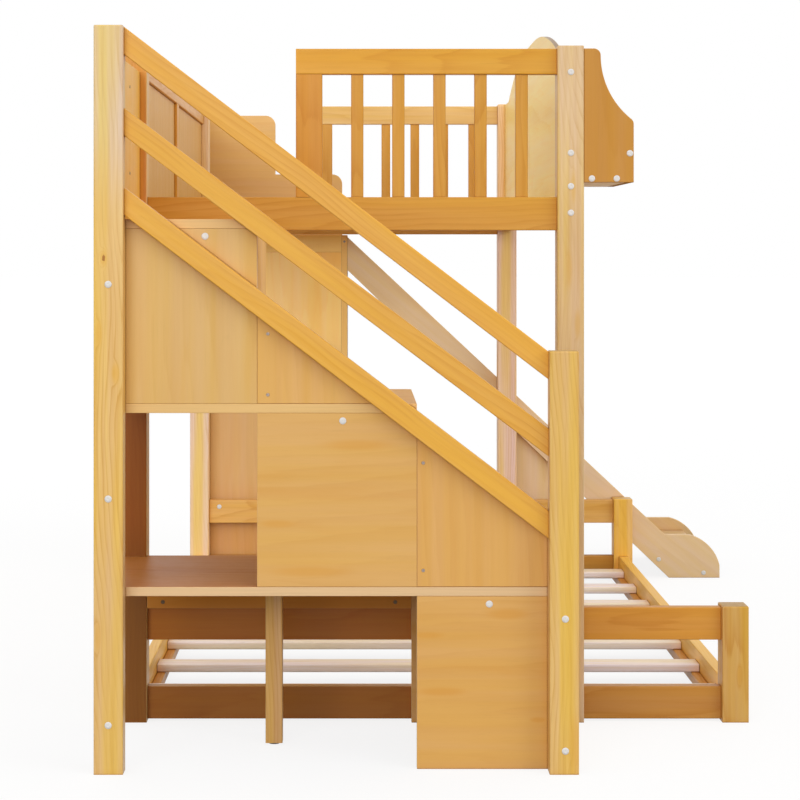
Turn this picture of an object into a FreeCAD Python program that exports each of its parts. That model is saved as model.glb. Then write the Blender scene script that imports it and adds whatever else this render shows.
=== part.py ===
"""Bunk bed with storage stairs at one end and a platform with a slide at the other.

Working axes: X runs from the wall side to the room side, Y runs from the outer face of
the stairs along the bed to the far face of the platform, and Z is up from the floor.
All sizes are millimetres. The finished pieces are shifted so that the origin lies on
the floor, below the centre of the whole object.
"""
import FreeCAD, Part
import math
import os

Vector = FreeCAD.Vector

# ---------------------------------------------------------------- bed frame
post_side = 62.0
bed_post_height = 1582.0
bed_length = 2020.0
upper_bed_width = 1084.0
lower_bed_width = 1469.0
low_post_height = 271.0
beam_thickness = 28.0
beam_height = 78.0
beam_bottom = 1150.0
side_beam_lift = 14.0
low_rail_height = 76.0
low_rail_floor_gap = 5.0
low_upper_rail_bottom = 190.0

# ---------------------------------------------------------------- slats
slat_width = 70.0
slat_thickness = 20.0
slat_count = 7
slat_end_gap = 60.0
slat_clearance = 1.0
ledger_width = 22.0
low_ledger_height = 25.0
upper_ledger_height = 22.0
upper_ledger_lift = 18.0

# ---------------------------------------------------------------- guards of the upper bed
guard_top_drop = 6.0
guard_rail_height = 60.0
guard_opening = 348.0
stile_width = 62.0
guard_slat_width = 29.0
guard_slat_thickness = 20.0
guard_slat_count = 5
arch_thickness = 14.0
arch_shoulder_drop = 2.0
arch_rise = 103.0
arch_shoulder_length = 146.0
arch_crown_length = 224.0
divider_width = 58.0
wall_panel_thickness = 12.0

# ---------------------------------------------------------------- stairs
stair_end_clearance = 1.0
stair_depth = 458.0
stair_post_width = 62.0
stair_post_overhang = 2.0
stair_post_depth = 46.0
stair_post_height = 1580.0
stair_short_post_height = 892.0
column_count = 3
board_thickness = 20.0
panel_thickness = 18.0
shelf_top = 388.0
tread_top = 778.0
landing_top = 1171.0
notch_clearance = 1.0
stair_rail_thickness = 26.0
stair_rail_height = 59.0
upper_rail_ends = (1578.0, 890.0)
middle_rail_ends = (1406.0, 727.0)
lower_rail_ends = (1238.0, 553.0)
leg_side = 38.0
leg_centre_x = 368.0
leg_front_y = 251.0
glide_height = 4.0
glide_radius = 12.0
apron_drop = 101.0
landing_guard_height = 349.0
landing_guard_inset = 28.0

# ---------------------------------------------------------------- hanging book shelf
book_shelf_length = 365.0
book_shelf_depth = 116.0
book_shelf_top_drop = 7.0
book_shelf_height = 313.0
book_shelf_lip = 144.0
book_shelf_front_drop = 8.0
scoop_start_x = 39.5
scoop_middle_x = 57.0
scoop_middle_drop = 97.0
scoop_corner = 16.0

# ---------------------------------------------------------------- platform beyond the far end
tower_width = 522.0
tower_length = 438.0
tower_top = 1148.0
tower_board = 18.0
tower_corner_board = 20.0
tower_band_height = 57.0
tower_guard_top = 1575.0
tower_guard_tall_width = 264.0
tower_guard_low_top = 1366.0
tower_guard_corner = 35.0

# ---------------------------------------------------------------- slide
slide_reach = 1247.0
slide_board = 18.0
slide_top_drop = 6.0
slide_start_height = 111.0
slide_toe_height = 144.0
slide_toe_start = 1064.0
slide_toe_flat = 81.0
slide_toe_edge = 42.0
slide_foot_start = 1077.0
chute_depth = 45.0
chute_thickness = 12.0
chute_bend_radius = 150.0
chute_end_setback = 55.0
slide_support_offset = 540.0
slide_support_width = 200.0

# ---------------------------------------------------------------- fasteners
cap_radius = 7.5
cap_height = 2.0
cap_edge = 1.2
screw_radius = 3.5
screw_height = 1.0
bolt_radius = 4.5
cap_side_inset = 29.0
tall_cap_heights = (1033.0, 581.0, 104.0)
short_cap_heights = (328.0, 50.0)
post_cap_drops = (62.0, 251.0, 329.0, 391.0)
panel_cap_insets = (229.5, 182.5, 154.0)
panel_cap_drop = 16.5
book_shelf_cap_insets = (18.0, 76.0)
slide_cap_places = ((204.0, 62.0), (54.0, 17.0))
low_rail_cap_inset = 34.0
screw_inset = 22.0
middle_infill_screws = (23.0, 19.0, 21.0)
low_infill_screws = (13.5, 35.0, 44.0)
landing_guard_screws = (105.0, 298.0)
apron_bolt_inset = 38.0
apron_bolt_lift = 15.0

# ---------------------------------------------------------------- softened edges
post_round = 3.0
bar_round = 2.5
panel_round = 1.2

# ---------------------------------------------------------------- places worked out from the sizes
bed_near = stair_depth
bed_far = bed_near + bed_length
near_post_inner = bed_near + post_side
far_post_inner = bed_far - post_side
beam_inset = (post_side - beam_thickness) / 2
near_beam_front = bed_near + beam_inset
far_beam_front = far_post_inner + beam_inset
front_post_x = upper_bed_width - post_side
low_post_x = lower_bed_width - post_side
wall_beam_x = beam_inset
front_beam_x = front_post_x + beam_inset
low_side_rail_x = low_post_x + beam_inset
beam_top = beam_bottom + beam_height
guard_top = bed_post_height - guard_top_drop
guard_rail_bottom = guard_top - guard_rail_height
arch_shoulder_height = bed_post_height - arch_shoulder_drop
stile_x = post_side + guard_opening
stair_width = front_post_x - stair_end_clearance
column_width = stair_width / column_count
panel_front = stair_post_depth
panel_back = panel_front + panel_thickness
rail_front = stair_post_depth - stair_rail_thickness
tall_post_right = stair_post_width - stair_post_overhang
short_post_x = stair_width - stair_post_width
book_shelf_bottom = bed_post_height - book_shelf_top_drop - book_shelf_height
book_shelf_front_height = book_shelf_lip - book_shelf_front_drop
back_panel_front = near_beam_front - panel_thickness
tower_near = bed_far
tower_far = tower_near + tower_length
slide_x = tower_width
slide_top_start = tower_top - slide_top_drop
slide_underside_start = slide_top_start - slide_start_height
slide_end_x = slide_x + slide_reach

pieces = {}


def add(name, *solids):
    """Keep one named piece, or a group of equal pieces that share a name."""
    pieces[name] = solids[0] if len(solids) == 1 else Part.makeCompound(list(solids))


def box(x_range, y_range, z_range):
    """Plain block between two corners."""
    low = Vector(x_range[0], y_range[0], z_range[0])
    return Part.makeBox(x_range[1] - x_range[0], y_range[1] - y_range[0], z_range[1] - z_range[0], low)


def runs_along(edge, direction):
    """True for a straight edge that lies along the given direction."""
    if not isinstance(edge.Curve, Part.Line):
        return False
    return abs(abs(edge.Curve.Direction.dot(direction)) - 1.0) < 1e-6


def rounded(solid, radius, direction):
    """Round the long edges of a bar, no further than its thinnest wall allows."""
    edges = [edge for edge in solid.Edges if runs_along(edge, direction)]
    walls = [solid.BoundBox.XLength, solid.BoundBox.YLength, solid.BoundBox.ZLength]
    return solid.makeFillet(min(radius, 0.4 * min(walls)), edges)


def bar(x_range, y_range, z_range, axis):
    """Square timber with rounded long edges along the X, Y or Z axis."""
    return rounded(box(x_range, y_range, z_range), bar_round, axis)


def post(x, y, width, depth, height):
    """Upright standing on the floor, with rounded corners and a rounded top rim."""
    upright = box((x, x + width), (y, y + depth), (0.0, height))
    edges = [edge for edge in upright.Edges if edge.BoundBox.ZMax > height / 2]
    return upright.makeFillet(min(post_round, 0.4 * min(width, depth)), edges)


def board(x_range, y_range, z_range):
    """Panel or shelf with every edge eased."""
    blank = box(x_range, y_range, z_range)
    walls = [blank.BoundBox.XLength, blank.BoundBox.YLength, blank.BoundBox.ZLength]
    return blank.makeFillet(min(panel_round, 0.4 * min(walls)), blank.Edges)


def plate(edges, push, corner_radius=0.0, corners=()):
    """Flat plate from a closed outline, with chosen corners rounded and its rims eased."""
    wire = Part.Wire(Part.__sortEdges__(edges))
    solid = Part.Face(wire).extrude(push)
    way = Vector(push).normalize()
    thickness = push.Length
    if corners:
        pillars = [edge for edge in solid.Edges if runs_along(edge, way)]
        chosen = [edge for edge in pillars if any(touches(edge, corner) for corner in corners)]
        solid = solid.makeFillet(corner_radius, chosen)
    rims = [edge for edge in solid.Edges if not runs_along(edge, way)]
    return solid.makeChamfer(min(panel_round, 0.2 * thickness), rims)


def touches(edge, point):
    """True when one end of the edge lies at the point."""
    return any(vertex.Point.distanceToPoint(point) < 1e-6 for vertex in edge.Vertexes)


def lines(points):
    """Straight edges from point to point and back to the first."""
    closed = points + [points[0]]
    return [Part.makeLine(closed[i], closed[i + 1]) for i in range(len(points))]


def arc(start, middle, end):
    """Circular edge through three points."""
    return Part.Arc(start, middle, end).toShape()


X_AXIS = Vector(1, 0, 0)
Y_AXIS = Vector(0, 1, 0)
Z_AXIS = Vector(0, 0, 1)


# ================================================================ stairs
def stair_posts():
    """Tall post at the wall and short post at the foot of the stairs."""
    tall = post(-stair_post_overhang, 0.0, stair_post_width, stair_post_depth, stair_post_height)
    add("stair_post_tall", tall)
    short = post(short_post_x, 0.0, stair_post_width, stair_post_depth, stair_short_post_height)
    add("stair_post_short", short)


def sloped_rail(ends):
    """Handrail between the two stair posts, cut upright at both ends."""
    left, right = ends
    y = rail_front
    corners = [
        Vector(tall_post_right, y, left),
        Vector(short_post_x, y, right),
        Vector(short_post_x, y, right - stair_rail_height),
        Vector(tall_post_right, y, left - stair_rail_height),
    ]
    solid = Part.Face(Part.Wire(lines(corners))).extrude(Y_AXIS * stair_rail_thickness)
    along = (corners[1] - corners[0]).normalize()
    return rounded(solid, bar_round, along)


def stair_rails():
    """Three nearly parallel rails down the open side of the stairs."""
    add("stair_rail_upper", sloped_rail(upper_rail_ends))
    add("stair_rail_middle", sloped_rail(middle_rail_ends))
    add("stair_rail_lower", sloped_rail(lower_rail_ends))


def stair_board(x_end, top):
    """Step board from the outer face to the end beam, notched round the bed post."""
    blank = board((0.0, x_end), (panel_front, near_beam_front), (top - board_thickness, top))
    notch = box(
        (-notch_clearance, post_side + notch_clearance),
        (bed_near, near_beam_front + notch_clearance),
        (top - 2 * board_thickness, top + board_thickness),
    )
    return blank.cut(notch)


def stair_boards():
    """Long low shelf, middle tread and top landing: one, two and three columns wide."""
    add("stair_shelf", stair_board(stair_width, shelf_top))
    add("stair_tread", stair_board(2 * column_width, tread_top))
    add("stair_landing", stair_board(column_width, landing_top))


def storey(column):
    """Floor and ceiling heights of the closed box in a column, counted from the wall."""
    ceilings = [landing_top, tread_top, shelf_top]
    floors = [tread_top, shelf_top, 0.0]
    return floors[column], ceilings[column] - board_thickness


def column_span(column):
    """Left and right edge of a column of the stairs."""
    return column * column_width, (column + 1) * column_width


def stair_panels():
    """Outer panels, bed-side panels and risers of the three boxes."""
    outer = []
    risers = []
    for column in range(column_count):
        left, right = column_span(column)
        floor, ceiling = storey(column)
        outer.append(board((left, right), (panel_front, panel_back), (floor, ceiling)))
        riser_back = near_beam_front if column == 0 else back_panel_front
        riser = board((right - panel_thickness, right), (panel_back, riser_back), (floor, ceiling))
        risers.append(riser)
    add("side_panel_top", outer[0])
    add("side_panel_middle", outer[1])
    add("side_panel_low", outer[2])
    add("stair_risers", *risers)
    back_y = (back_panel_front, near_beam_front)
    backs = [board(column_span(column), back_y, storey(column)) for column in (1, 2)]
    add("back_panels", *backs)


def lower_rail_middle_height(x):
    """Height of the middle of the lowest handrail above a place on the floor."""
    left, right = lower_rail_ends
    share = (x - tall_post_right) / (short_post_x - tall_post_right)
    return left + (right - left) * share - stair_rail_height / 2


def infill_panel(column, base):
    """Panel that fills the gap from a step up to the back of the lowest handrail."""
    left, right = column_span(column)
    drop = lower_rail_middle_height(left) - lower_rail_middle_height(right)
    reach = (lower_rail_middle_height(left) - base) / drop * (right - left)
    y = panel_front
    corners = [Vector(left, y, base), Vector(left, y, lower_rail_middle_height(left))]
    if reach > right - left:
        corners.append(Vector(right, y, lower_rail_middle_height(right)))
        corners.append(Vector(right, y, base))
    else:
        corners.append(Vector(left + reach, y, base))
    return plate(lines(corners), Y_AXIS * panel_thickness)


def stair_infills():
    """Two slanted panels behind the lowest handrail."""
    add("infill_panel_middle", infill_panel(1, tread_top))
    add("infill_panel_low", infill_panel(2, shelf_top))


def shelf_supports():
    """Centre leg with its glide, and the apron under the bed side of the low shelf."""
    underside = shelf_top - board_thickness
    leg_x = (leg_centre_x - leg_side / 2, leg_centre_x + leg_side / 2)
    leg_y = (leg_front_y, leg_front_y + leg_side)
    add("shelf_leg", bar(leg_x, leg_y, (glide_height, underside), Z_AXIS))
    glide_centre = Vector(leg_centre_x, leg_front_y + leg_side / 2, 0.0)
    add("leg_glide", Part.makeCylinder(glide_radius, glide_height, glide_centre))
    apron_x = (post_side + notch_clearance, 2 * column_width)
    apron_z = (underside - apron_drop, underside)
    add("shelf_apron", board(apron_x, (back_panel_front, near_beam_front), apron_z))


def landing_guard():
    """Guard panel at the wall side of the landing, between stair post and bed post."""
    x = (landing_guard_inset, landing_guard_inset + panel_thickness)
    z = (landing_top, landing_top + landing_guard_height)
    add("landing_guard", board(x, (stair_post_depth, bed_near), z))


# ================================================================ bed frame
def bed_posts():
    """Four tall posts of the upper bed and two short ones of the wider lower bed."""
    places = {
        "bed_post_near_wall": (0.0, bed_near),
        "bed_post_near_front": (front_post_x, bed_near),
        "bed_post_far_wall": (0.0, far_post_inner),
        "bed_post_far_front": (front_post_x, far_post_inner),
    }
    for name, (x, y) in places.items():
        add(name, post(x, y, post_side, post_side, bed_post_height))
    shorts = [post(low_post_x, y, post_side, post_side, low_post_height) for y in (bed_near, far_post_inner)]
    add("low_posts", *shorts)


def end_beam(front):
    """Cross beam of the upper bed between two tall posts."""
    x = (post_side, front_post_x)
    return bar(x, (front, front + beam_thickness), (beam_bottom, beam_top), X_AXIS)


def side_beam(x):
    """Long beam of the upper bed between a near and a far post, a little shallower than the end beams."""
    y = (near_post_inner, far_post_inner)
    return bar((x, x + beam_thickness), y, (beam_bottom + side_beam_lift, beam_top), Y_AXIS)


def upper_beams():
    """Ring of four beams that carries the upper bed."""
    add("end_beam_near", end_beam(near_beam_front))
    add("end_beam_far", end_beam(far_beam_front))
    add("side_beam_wall", side_beam(wall_beam_x))
    add("side_beam_front", side_beam(front_beam_x))


def low_end_rails(bottom):
    """Cross rails of the lower bed at both ends, in two lengths beside the tall post."""
    spans = [(post_side, front_post_x), (upper_bed_width, low_post_x)]
    z = (bottom, bottom + low_rail_height)
    solids = []
    for front in (near_beam_front, far_beam_front):
        for x in spans:
            solids.append(bar(x, (front, front + beam_thickness), z, X_AXIS))
    return solids


def low_frame():
    """End rails and long side rails of the lower bed."""
    add("low_end_rails_upper", *low_end_rails(low_upper_rail_bottom))
    add("low_end_rails_lower", *low_end_rails(low_rail_floor_gap))
    y = (near_post_inner, far_post_inner)
    z = (low_rail_floor_gap, low_rail_floor_gap + low_rail_height)
    sides = [bar((x, x + beam_thickness), y, z, Y_AXIS) for x in (wall_beam_x, low_side_rail_x)]
    add("low_side_rails", *sides)


def ledgers(left_face, right_face, bottom, height):
    """Two strips along the inner faces of the long rails, on which the slats lie."""
    y = (near_post_inner, far_post_inner)
    z = (bottom, bottom + height)
    strips = []
    for x in (left_face, right_face - ledger_width):
        strips.append(bar((x, x + ledger_width), y, z, Y_AXIS))
    return strips


def slats(left_face, right_face, bottom):
    """Evenly spaced slats across the bed, from rail to rail."""
    first = near_post_inner + slat_end_gap
    last = far_post_inner - slat_end_gap - slat_width
    pitch = (last - first) / (slat_count - 1)
    x = (left_face + slat_clearance, right_face - slat_clearance)
    solids = []
    for i in range(slat_count):
        y = first + i * pitch
        solids.append(bar(x, (y, y + slat_width), (bottom, bottom + slat_thickness), X_AXIS))
    return solids


def bed_bases():
    """Ledgers and slats of the lower and the upper bed."""
    left = wall_beam_x + beam_thickness
    low_bottom = low_rail_floor_gap
    add("low_ledgers", *ledgers(left, low_side_rail_x, low_bottom, low_ledger_height))
    add("low_slats", *slats(left, low_side_rail_x, low_bottom + low_ledger_height))
    upper_bottom = beam_bottom + upper_ledger_lift
    add("upper_ledgers", *ledgers(left, front_beam_x, upper_bottom, upper_ledger_height))
    add("upper_slats", *slats(left, front_beam_x, upper_bottom + upper_ledger_height))


# ================================================================ guards of the upper bed
def end_guard(front):
    """Top rail, stile and slats of one end guard; the opening beside it stays free."""
    y = (front, front + beam_thickness)
    rail = bar((stile_x, front_post_x), y, (guard_rail_bottom, guard_top), X_AXIS)
    stile = bar((stile_x, stile_x + stile_width), y, (beam_top, guard_rail_bottom), Z_AXIS)
    slat_y = front + (beam_thickness - guard_slat_thickness) / 2
    free = front_post_x - stile_x - stile_width - guard_slat_count * guard_slat_width
    gap = free / (guard_slat_count + 1)
    slat_row = []
    for i in range(guard_slat_count):
        x = stile_x + stile_width + gap + i * (gap + guard_slat_width)
        slat_x = (x, x + guard_slat_width)
        slat_z = (beam_top, guard_rail_bottom)
        slat_row.append(bar(slat_x, (slat_y, slat_y + guard_slat_thickness), slat_z, Z_AXIS))
    return rail, stile, slat_row


def end_guards():
    """Guard at the stairs and guard at the platform, made alike."""
    near_rail, near_stile, near_slats = end_guard(near_beam_front)
    far_rail, far_stile, far_slats = end_guard(far_beam_front)
    add("guard_rails", near_rail, far_rail)
    add("guard_stiles", near_stile, far_stile)
    add("guard_slats", *near_slats, *far_slats)


def front_guard():
    """Solid guard board along the room side: its top rises in two arcs to a short level crown."""
    x = front_beam_x + (beam_thickness - arch_thickness) / 2
    start = near_post_inner
    end = far_post_inner
    middle = (start + end) / 2
    low = arch_shoulder_height
    high = arch_shoulder_height + arch_rise
    shoulder_a = start + arch_shoulder_length
    shoulder_b = end - arch_shoulder_length
    crown_a = middle - arch_crown_length / 2
    crown_b = middle + arch_crown_length / 2
    run = crown_a - shoulder_a
    radius = (run**2 + arch_rise**2) / (2 * arch_rise)
    half_turn = math.asin(run / radius) / 2
    back = radius * math.sin(half_turn)
    drop = radius * (1 - math.cos(half_turn))
    corners = [
        Vector(x, shoulder_b, low),
        Vector(x, end, low),
        Vector(x, end, beam_top),
        Vector(x, start, beam_top),
        Vector(x, start, low),
        Vector(x, shoulder_a, low),
    ]
    edges = [Part.makeLine(corners[i], corners[i + 1]) for i in range(len(corners) - 1)]
    edges.append(arc(corners[-1], Vector(x, crown_a - back, high - drop), Vector(x, crown_a, high)))
    edges.append(Part.makeLine(Vector(x, crown_a, high), Vector(x, crown_b, high)))
    edges.append(arc(Vector(x, crown_b, high), Vector(x, crown_b + back, high - drop), corners[0]))
    add("front_guard_arch", plate(edges, X_AXIS * arch_thickness))


def wall_guard():
    """Framed guard along the wall side: top rail, middle divider and two sunk panels."""
    x = (wall_beam_x, wall_beam_x + beam_thickness)
    rail_y = (near_post_inner, far_post_inner)
    add("wall_guard_rail", bar(x, rail_y, (guard_rail_bottom, guard_top), Y_AXIS))
    middle = (near_post_inner + far_post_inner) / 2
    divider_y = (middle - divider_width / 2, middle + divider_width / 2)
    between = (beam_top, guard_rail_bottom)
    add("wall_guard_divider", bar(x, divider_y, between, Z_AXIS))
    panel_x = wall_beam_x + (beam_thickness - wall_panel_thickness) / 2
    panel_span = (panel_x, panel_x + wall_panel_thickness)
    first = board(panel_span, (near_post_inner, divider_y[0]), between)
    second = board(panel_span, (divider_y[1], far_post_inner), between)
    add("wall_guard_panels", first, second)


# ================================================================ hanging book shelf
def book_shelf_side(x_back, y):
    """Side of the book shelf: straight back, scooped front and a low lip."""
    top = book_shelf_bottom + book_shelf_height
    lip = book_shelf_bottom + book_shelf_lip
    inner = upper_bed_width
    outer = inner + book_shelf_depth
    scoop_start = Vector(inner + scoop_start_x, y, top)
    scoop_middle = Vector(inner + scoop_middle_x, y, top - scoop_middle_drop)
    scoop_end = Vector(outer, y, lip)
    edges = [
        Part.makeLine(Vector(x_back, y, top), scoop_start),
        arc(scoop_start, scoop_middle, scoop_end),
        Part.makeLine(scoop_end, Vector(outer, y, book_shelf_bottom)),
        Part.makeLine(Vector(outer, y, book_shelf_bottom), Vector(x_back, y, book_shelf_bottom)),
        Part.makeLine(Vector(x_back, y, book_shelf_bottom), Vector(x_back, y, top)),
    ]
    return plate(edges, Y_AXIS * panel_thickness, scoop_corner, [scoop_start, scoop_end])


def book_shelf():
    """Shelf box outside the near front post: near side on the post, far side on the guard."""
    guard_face = front_beam_x + (beam_thickness + arch_thickness) / 2
    near_y = bed_near
    far_y = bed_near + book_shelf_length - panel_thickness
    near_side = book_shelf_side(upper_bed_width, near_y)
    far_side = book_shelf_side(guard_face, far_y)
    add("book_shelf_sides", near_side, far_side)
    outer = upper_bed_width + book_shelf_depth
    front_x = (outer - panel_thickness, outer)
    inside_y = (near_y + panel_thickness, far_y)
    front_z = (book_shelf_bottom, book_shelf_bottom + book_shelf_front_height)
    add("book_shelf_front", board(front_x, inside_y, front_z))
    bottom_z = (book_shelf_bottom, book_shelf_bottom + panel_thickness)
    bottom = board((guard_face, front_x[0]), inside_y, bottom_z)
    post_room = box(
        (guard_face - notch_clearance, upper_bed_width + notch_clearance),
        (near_y, near_post_inner + notch_clearance),
        (book_shelf_bottom - panel_thickness, book_shelf_bottom + 2 * panel_thickness),
    )
    add("book_shelf_bottom", bottom.cut(post_room))


# ================================================================ platform
def tower_panels():
    """Closed box under the platform and the band below its deck."""
    inner_x = tower_width - tower_corner_board
    band_bottom = tower_top - tower_band_height
    near_y = (tower_near, tower_near + tower_board)
    far_y = (tower_far - tower_board, tower_far)
    add("tower_panel_near", board((0.0, inner_x), near_y, (0.0, band_bottom)))
    add("tower_band_near", board((0.0, inner_x), near_y, (band_bottom, tower_top)))
    add("tower_panel_far", board((0.0, inner_x), far_y, (0.0, band_bottom)))
    add("tower_panel_front", board((inner_x, tower_width), (tower_near, tower_far), (0.0, tower_top)))
    between = (near_y[1], far_y[0])
    add("tower_panel_wall", board((0.0, tower_board), between, (0.0, tower_guard_top)))
    deck_z = (tower_top - tower_board, tower_top)
    add("tower_deck", board((tower_board, inner_x), between, deck_z))


def tower_guard():
    """Stepped guard board at the far side of the platform, with rounded upper corners."""
    y = tower_far - tower_board
    radius = tower_guard_corner
    chord = radius * (1 - math.sqrt(0.5))
    tall = tower_guard_tall_width
    low = tower_width - tower_corner_board
    base = tower_top - tower_band_height
    edges = [
        Part.makeLine(Vector(0, y, base), Vector(0, y, tower_guard_top)),
        Part.makeLine(Vector(0, y, tower_guard_top), Vector(tall - radius, y, tower_guard_top)),
        arc(
            Vector(tall - radius, y, tower_guard_top),
            Vector(tall - chord, y, tower_guard_top - chord),
            Vector(tall, y, tower_guard_top - radius),
        ),
        Part.makeLine(Vector(tall, y, tower_guard_top - radius), Vector(tall, y, tower_guard_low_top)),
        Part.makeLine(Vector(tall, y, tower_guard_low_top), Vector(low - radius, y, tower_guard_low_top)),
        arc(
            Vector(low - radius, y, tower_guard_low_top),
            Vector(low - chord, y, tower_guard_low_top - chord),
            Vector(low, y, tower_guard_low_top - radius),
        ),
        Part.makeLine(Vector(low, y, tower_guard_low_top - radius), Vector(low, y, base)),
        Part.makeLine(Vector(low, y, base), Vector(0, y, base)),
    ]
    add("tower_guard_far", plate(edges, Y_AXIS * tower_board))


# ================================================================ slide
def slide_side(y):
    """Side board of the slide: a straight slope, a short flat and a rounded toe."""
    toe_x = slide_x + slide_toe_start
    flat_x = toe_x + slide_toe_flat
    fall = slide_toe_height - slide_toe_edge
    run = slide_end_x - flat_x
    toe_middle = Vector(flat_x + 0.62 * run, y, slide_toe_height - 0.33 * fall)
    points = [
        Vector(slide_end_x, y, slide_toe_edge),
        Vector(slide_end_x, y, 0.0),
        Vector(slide_x + slide_foot_start, y, 0.0),
        Vector(slide_x, y, slide_underside_start),
        Vector(slide_x, y, slide_top_start),
        Vector(toe_x, y, slide_toe_height),
        Vector(flat_x, y, slide_toe_height),
    ]
    edges = [Part.makeLine(points[i], points[i + 1]) for i in range(len(points) - 1)]
    edges.append(arc(points[-1], toe_middle, points[0]))
    return plate(edges, Y_AXIS * slide_board)


def chute_top_height(x):
    """Height of the sliding surface above a place on the floor, on the slope."""
    share = (x - slide_x) / slide_toe_start
    return slide_top_start + (slide_toe_height - slide_top_start) * share - chute_depth


def slide():
    """Two side boards, the chute between them and two supports under it."""
    inner_y = tower_near + slide_board
    outer_y = tower_far - slide_board
    add("slide_side_near", slide_side(tower_near))
    add("slide_side_far", slide_side(outer_y))
    bend = slide_x + slide_toe_start
    end = slide_end_x - chute_end_setback
    low = slide_toe_height - chute_depth
    top = [Vector(slide_x, inner_y, chute_top_height(slide_x)), Vector(bend, inner_y, low)]
    top.append(Vector(end, inner_y, low))
    down = Z_AXIS * -chute_thickness
    outline = top + [point + down for point in reversed(top)]
    chute = Part.Face(Part.Wire(lines(outline))).extrude(Y_AXIS * (outer_y - inner_y))
    bends = [edge for edge in chute.Edges if runs_along(edge, Y_AXIS)]
    bends = [edge for edge in bends if abs(edge.Vertexes[0].X - bend) < 1e-6]
    add("slide_chute", chute.makeFillet(chute_bend_radius, bends))
    supports = []
    left = slide_x + slide_support_offset
    right = left + slide_support_width
    underside = [chute_top_height(x) - chute_thickness for x in (left, right)]
    for y in (inner_y, outer_y - slide_board):
        corners = [
            Vector(left, y, 0.0),
            Vector(left, y, underside[0]),
            Vector(right, y, underside[1]),
            Vector(right, y, 0.0),
        ]
        supports.append(plate(lines(corners), Y_AXIS * slide_board))
    add("slide_supports", *supports)


# ================================================================ fasteners
def cap(x, y, z):
    """Round cap over a bolt, lying on a face that looks to the stairs' outer side."""
    disc = Part.makeCylinder(cap_radius, cap_height, Vector(x, y, z), Y_AXIS * -1)
    rim = [edge for edge in disc.Edges if edge.BoundBox.YMax < y - cap_height / 2]
    return disc.makeFillet(min(cap_edge, 0.7 * cap_height), rim)


def head(place, out, radius):
    """Flat screw or bolt head lying on a face, pointing out of it."""
    return Part.makeCylinder(radius, screw_height, place, out)


def fasteners():
    """Bolt caps, screw heads and the two dark bolts under the low shelf."""
    short_x = stair_width - cap_side_inset
    places = [(cap_side_inset, 0.0, z) for z in tall_cap_heights]
    places += [(short_x, 0.0, z) for z in short_cap_heights]
    for column in range(column_count):
        x = column_span(column)[0] + panel_cap_insets[column]
        places.append((x, panel_front, storey(column)[1] - panel_cap_drop))
    post_x = upper_bed_width - post_side / 2
    places += [(post_x, bed_near, bed_post_height - drop) for drop in post_cap_drops]
    shelf_bolt_z = book_shelf_bottom + panel_thickness / 2
    places += [(upper_bed_width + x, bed_near, shelf_bolt_z) for x in book_shelf_cap_insets]
    lip_x = upper_bed_width + book_shelf_depth - panel_thickness / 2
    places.append((lip_x, bed_near, book_shelf_bottom + book_shelf_front_height / 2))
    places += [(slide_end_x - back, tower_near, z) for back, z in slide_cap_places]
    rail_cap_z = low_upper_rail_bottom + low_rail_height - screw_inset
    places.append((post_side + low_rail_cap_inset, far_beam_front, rail_cap_z))
    add("bolt_caps", *[cap(*place) for place in places])

    out = Y_AXIS * -1
    heads = []
    for column, base, (inset, lift, drop) in (
        (1, tread_top, middle_infill_screws),
        (2, shelf_top, low_infill_screws),
    ):
        x = column_span(column)[0] + inset
        rail_underside = lower_rail_middle_height(x) - stair_rail_height / 2
        for z in (base + lift, rail_underside - drop):
            heads.append(head(Vector(x, panel_front, z), out, screw_radius))
    guard_face = landing_guard_inset + panel_thickness
    for rise in landing_guard_screws:
        place = Vector(guard_face, (stair_post_depth + bed_near) / 2, landing_top + rise)
        heads.append(head(place, X_AXIS, screw_radius))
    edge_x = tower_width - tower_corner_board / 2
    heads.append(head(Vector(edge_x, tower_near, tower_top - screw_inset), out, screw_radius))
    add("screw_heads", *heads)

    bolt_z = shelf_top - board_thickness - apron_drop + apron_bolt_lift
    bolt_places = (post_side + apron_bolt_inset, 2 * column_width - apron_bolt_inset)
    bolts = [head(Vector(x, back_panel_front, bolt_z), out, bolt_radius) for x in bolt_places]
    add("apron_bolts", *bolts)


def build():
    """Make every piece, shift the whole to its origin and write one file for each piece."""
    stair_posts()
    stair_rails()
    stair_boards()
    stair_panels()
    stair_infills()
    shelf_supports()
    landing_guard()
    bed_posts()
    upper_beams()
    low_frame()
    bed_bases()
    end_guards()
    front_guard()
    wall_guard()
    book_shelf()
    tower_panels()
    tower_guard()
    slide()
    fasteners()
    os.makedirs("parts", exist_ok=True)
    whole = Part.makeCompound(list(pieces.values()))
    size = whole.optimalBoundingBox(False)
    shift = Vector(-(size.XMin + size.XMax) / 2, -(size.YMin + size.YMax) / 2, -size.ZMin)
    for name, shape in pieces.items():
        placed = shape.copy()
        placed.translate(shift)
        placed.exportStep("parts/" + name + ".step")
    print("pieces", len(pieces), "solids", len(whole.Solids))
    print("size", round(size.XLength, 1), round(size.YLength, 1), round(size.ZLength, 1))
    print("shift", round(shift.x, 2), round(shift.y, 2), round(shift.z, 2))


build()
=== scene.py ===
"""Dresses the bunk bed with storage stairs and slide: timber finishes, slats, fasteners and the studio."""
from collections import namedtuple
import math

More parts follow.
